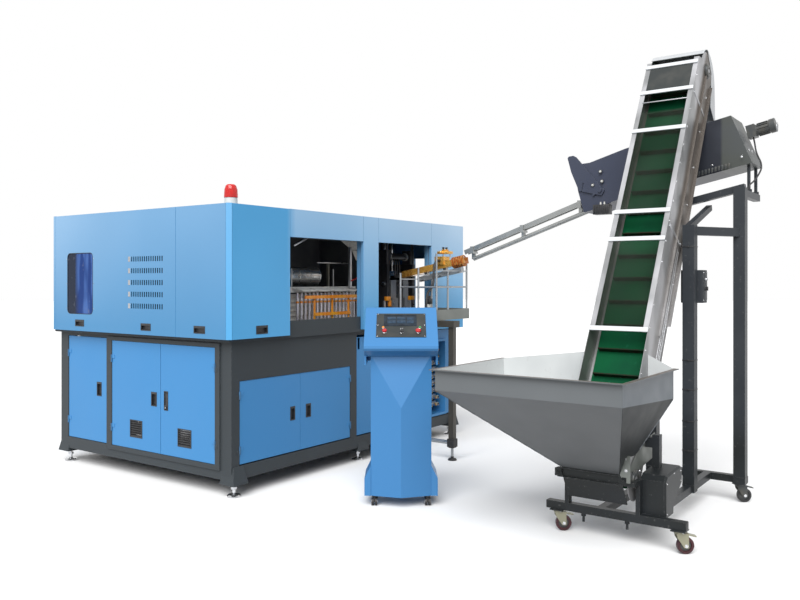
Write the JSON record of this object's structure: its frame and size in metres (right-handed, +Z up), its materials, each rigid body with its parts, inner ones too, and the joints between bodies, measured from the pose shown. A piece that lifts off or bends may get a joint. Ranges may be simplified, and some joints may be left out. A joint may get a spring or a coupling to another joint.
{
  "type": "automatic bottle blow moulding line",
  "caption": "Blow moulding machine in a blue cabinet, with operator console, steel hopper, inclined cleated belt elevator, preform unscrambler and feed rail.",
  "frame": {"origin": "centre of the floor rectangle that the whole line covers, at floor level", "axes": "+X along the machine's long front face, +Y from the elevator towards the machine, +Z up"},
  "size_m": [3.2474, 5.4296, 3.3688],
  "materials": {
    "frame_grey": "satin paint",
    "screw_feet": "painted",
    "panel_blue": "satin powder coat",
    "valve_metal": "bare fittings",
    "cabinet_blue": "satin powder coat",
    "beacon_white": "moulded",
    "beacon_red": "ribbed",
    "oven_dark": "matt",
    "polished_duct": "polished",
    "reflector": "polished",
    "rail_orange": "gloss",
    "mandrel_steel": "turned",
    "clamp_black": "satin",
    "platen_steel": "ground",
    "lever_black": "moulded",
    "window_tint": "tinted",
    "console_blue": "satin powder coat",
    "plate_grey": "satin",
    "screen_glass": "glossy",
    "button_red": "moulded",
    "knob_black": "moulded",
    "castor_grey": "moulded",
    "elevator_grey": "satin paint",
    "stainless": "brushed sheet",
    "bar_white": "satin",
    "clear_sheet": "clear acrylic",
    "belt_green": "matt coated",
    "roller_steel": "turned",
    "trough_grey": "satin",
    "motor_blue": "gloss",
    "rail_steel": "brushed",
    "brass": "bare",
    "stand_steel": "brushed",
    "hose_black": "matt",
    "fork_zinc": "zinc plated",
    "wheel_tyre": "moulded"
  },
  "bodies": {
    "far_end_door": {"far_end_door": "panel_blue"},
    "middle_end_door": {"middle_end_door": "panel_blue"},
    "near_end_door": {"near_end_door": "panel_blue"},
    "front_left_door": {"front_left_door": "panel_blue"},
    "front_right_door": {"front_right_door": "panel_blue"},
    "near_door_lever": {"near_door_lever": "lever_black"},
    "large_end_guard": {"large_end_guard": "cabinet_blue", "guard_window": "window_tint"},
    "small_end_guard": {"small_end_guard": "cabinet_blue"},
    "front_guard": {"front_guard": "cabinet_blue"},
    "left_platen": {"left_platen": "platen_steel"},
    "right_platen": {"right_platen": "platen_steel"},
    "blow_head": {"blow_head": "platen_steel"},
    "head_roller": {"head_roller": "roller_steel"},
    "tail_roller": {"tail_roller": "roller_steel"},
    "near_sorting_roller": {"near_sorting_roller": "roller_steel"},
    "far_sorting_roller": {"far_sorting_roller": "roller_steel"},
    "castor_fork_front_left": {"castor_fork_front_left": "fork_zinc"},
    "castor_wheel_front_left": {"castor_wheel_front_left": "wheel_tyre"},
    "castor_fork_front_right": {"castor_fork_front_right": "fork_zinc"},
    "castor_wheel_front_right": {"castor_wheel_front_right": "wheel_tyre"},
    "castor_fork_rear_left": {"castor_fork_rear_left": "fork_zinc"},
    "castor_wheel_rear_left": {"castor_wheel_rear_left": "wheel_tyre"},
    "castor_fork_rear_right": {"castor_fork_rear_right": "fork_zinc"},
    "castor_wheel_rear_right": {"castor_wheel_rear_right": "wheel_tyre"},
    "stop_button": {"stop_button": "button_red"},
    "emergency_button": {"emergency_button": "button_red"},
    "mode_selector": {"mode_selector": "knob_black"},
    "root": {"base_frame": "frame_grey", "levelling_feet": "screw_feet", "lower_panels": "panel_blue", "valve_manifold": "valve_metal", "cabinet_front": "cabinet_blue", "cabinet_rear": "cabinet_blue", "beacon_base": "beacon_white", "beacon_lens": "beacon_red", "oven_wall": "oven_dark", "air_duct": "polished_duct", "lamp_reflectors": "reflector", "oven_rails": "rail_orange", "mandrel_row": "mandrel_steel", "clamp_frame": "clamp_black", "console_housing": "console_blue", "control_plate": "plate_grey", "touch_screen": "screen_glass", "console_castors": "castor_grey", "elevator_frame": "elevator_grey", "hopper": "stainless", "conveyor_trough": "stainless", "cover_bars": "bar_white", "discharge_hood": "bar_white", "conveyor_covers": "clear_sheet", "conveyor_belt": "belt_green", "unscrambler_trough": "trough_grey", "unscrambler_motor": "motor_blue", "feed_rail": "rail_steel", "feed_chute": "brass", "infeed_stand": "stand_steel", "infeed_hose": "hose_black", "motor_cable": "hose_black"}
  },
  "joints": [
    {"name": "far_end_door_hinge", "type": "hinge", "parent": "root", "child": "far_end_door", "pos_m": [-1.54125, 2.57784, 0.66], "axis": [0, 0, -1], "range_deg": [0, 110]},
    {"name": "middle_end_door_hinge", "type": "hinge", "parent": "root", "child": "middle_end_door", "pos_m": [-1.55325, 1.93684, 0.66], "axis": [0, 0, -1], "range_deg": [0, 110]},
    {"name": "near_end_door_hinge", "type": "hinge", "parent": "root", "child": "near_end_door", "pos_m": [-1.55325, 0.67484, 0.66], "axis": [0, 0, 1], "range_deg": [0, 110]},
    {"name": "front_left_door_hinge", "type": "hinge", "parent": "root", "child": "front_left_door", "pos_m": [-1.45825, 0.50984, 0.54], "axis": [0, 0, -1], "range_deg": [0, 110]},
    {"name": "front_right_door_hinge", "type": "hinge", "parent": "root", "child": "front_right_door", "pos_m": [-0.16625, 0.50984, 0.54], "axis": [0, 0, 1], "range_deg": [0, 110]},
    {"name": "near_door_lever_pivot", "type": "hinge", "parent": "near_end_door", "child": "near_door_lever", "pos_m": [-1.54325, 1.23834, 0.716], "axis": [0, 1, 0], "range_deg": [0, 35]},
    {"name": "large_end_guard_hinge", "type": "hinge", "parent": "root", "child": "large_end_guard", "pos_m": [-1.59425, 1.84284, 2.153], "axis": [0, 1, 0], "range_deg": [0, 85]},
    {"name": "small_end_guard_hinge", "type": "hinge", "parent": "root", "child": "small_end_guard", "pos_m": [-1.59425, 0.75884, 2.153], "axis": [0, 1, 0], "range_deg": [0, 85]},
    {"name": "front_guard_hinge", "type": "hinge", "parent": "root", "child": "front_guard", "pos_m": [-1.28625, 0.47684, 2.153], "axis": [-1, 0, 0], "range_deg": [0, 85]},
    {"name": "left_platen_slide", "type": "slide", "parent": "root", "child": "left_platen", "axis": [1, 0, 0], "range_m": [0, 0.0595]},
    {"name": "right_platen_slide", "type": "slide", "parent": "root", "child": "right_platen", "axis": [-1, 0, 0], "range_m": [0, 0.0595]},
    {"name": "blow_head_slide", "type": "slide", "parent": "root", "child": "blow_head", "axis": [0, 0, 1], "range_m": [0, 0.08]},
    {"name": "head_roller_spin", "type": "hinge", "parent": "root", "child": "head_roller", "pos_m": [0.79408, -2.03516, 3.2025], "axis": [0, 1, 0], "continuous": true},
    {"name": "tail_roller_spin", "type": "hinge", "parent": "root", "child": "tail_roller", "pos_m": [-0.82592, -2.03516, 0.39658], "axis": [0, 1, 0], "continuous": true},
    {"name": "near_sorting_roller_spin", "type": "hinge", "parent": "root", "child": "near_sorting_roller", "pos_m": [0.81075, -1.89016, 2.43678], "axis": [0, 0.9783, -0.2071], "continuous": true},
    {"name": "far_sorting_roller_spin", "type": "hinge", "parent": "root", "child": "far_sorting_roller", "pos_m": [0.90675, -1.89016, 2.43678], "axis": [0, 0.9783, -0.2071], "continuous": true},
    {"name": "castor_swivel_front_left", "type": "hinge", "parent": "root", "child": "castor_fork_front_left", "pos_m": [-0.82625, -1.74016, 0.12], "axis": [0, 0, 1], "continuous": true},
    {"name": "castor_spin_front_left", "type": "hinge", "parent": "castor_fork_front_left", "child": "castor_wheel_front_left", "pos_m": [-0.80764, -1.76619, 0.05], "axis": [0.8134, 0.5817, 0], "continuous": true},
    {"name": "castor_swivel_front_right", "type": "hinge", "parent": "root", "child": "castor_fork_front_right", "pos_m": [-0.82625, -2.50416, 0.12], "axis": [0, 0, 1], "continuous": true},
    {"name": "castor_spin_front_right", "type": "hinge", "parent": "castor_fork_front_right", "child": "castor_wheel_front_right", "pos_m": [-0.80764, -2.53019, 0.05], "axis": [0.8134, 0.5817, 0], "continuous": true},
    {"name": "castor_swivel_rear_left", "type": "hinge", "parent": "root", "child": "castor_fork_rear_left", "pos_m": [0.54375, -1.91016, 0.12], "axis": [0, 0, 1], "continuous": true},
    {"name": "castor_spin_rear_left", "type": "hinge", "parent": "castor_fork_rear_left", "child": "castor_wheel_rear_left", "pos_m": [0.56236, -1.93619, 0.05], "axis": [0.8134, 0.5817, 0], "continuous": true},
    {"name": "castor_swivel_rear_right", "type": "hinge", "parent": "root", "child": "castor_fork_rear_right", "pos_m": [0.54375, -2.52516, 0.12], "axis": [0, 0, 1], "continuous": true},
    {"name": "castor_spin_rear_right", "type": "hinge", "parent": "castor_fork_rear_right", "child": "castor_wheel_rear_right", "pos_m": [0.56236, -2.55119, 0.05], "axis": [0.8134, 0.5817, 0], "continuous": true},
    {"name": "stop_button_push", "type": "slide", "parent": "root", "child": "stop_button", "axis": [0.4613, 0.3299, -0.8236], "range_m": [0, 0.004], "stiffness_N_per_m": 600},
    {"name": "emergency_button_push", "type": "slide", "parent": "root", "child": "emergency_button", "axis": [0.4613, 0.3299, -0.8236], "range_m": [0, 0.004], "stiffness_N_per_m": 600},
    {"name": "mode_selector_turn", "type": "hinge", "parent": "root", "child": "mode_selector", "pos_m": [-0.94814, -0.59449, 1.22889], "axis": [-0.4613, -0.3299, 0.8236], "range_deg": [-45, 45]}
  ],
  "couplings": [
    {"joint": "right_platen_slide", "follows": "left_platen_slide", "ratio": 1},
    {"joint": "tail_roller_spin", "follows": "head_roller_spin", "ratio": 1},
    {"joint": "far_sorting_roller_spin", "follows": "near_sorting_roller_spin", "ratio": -1}
  ]
}
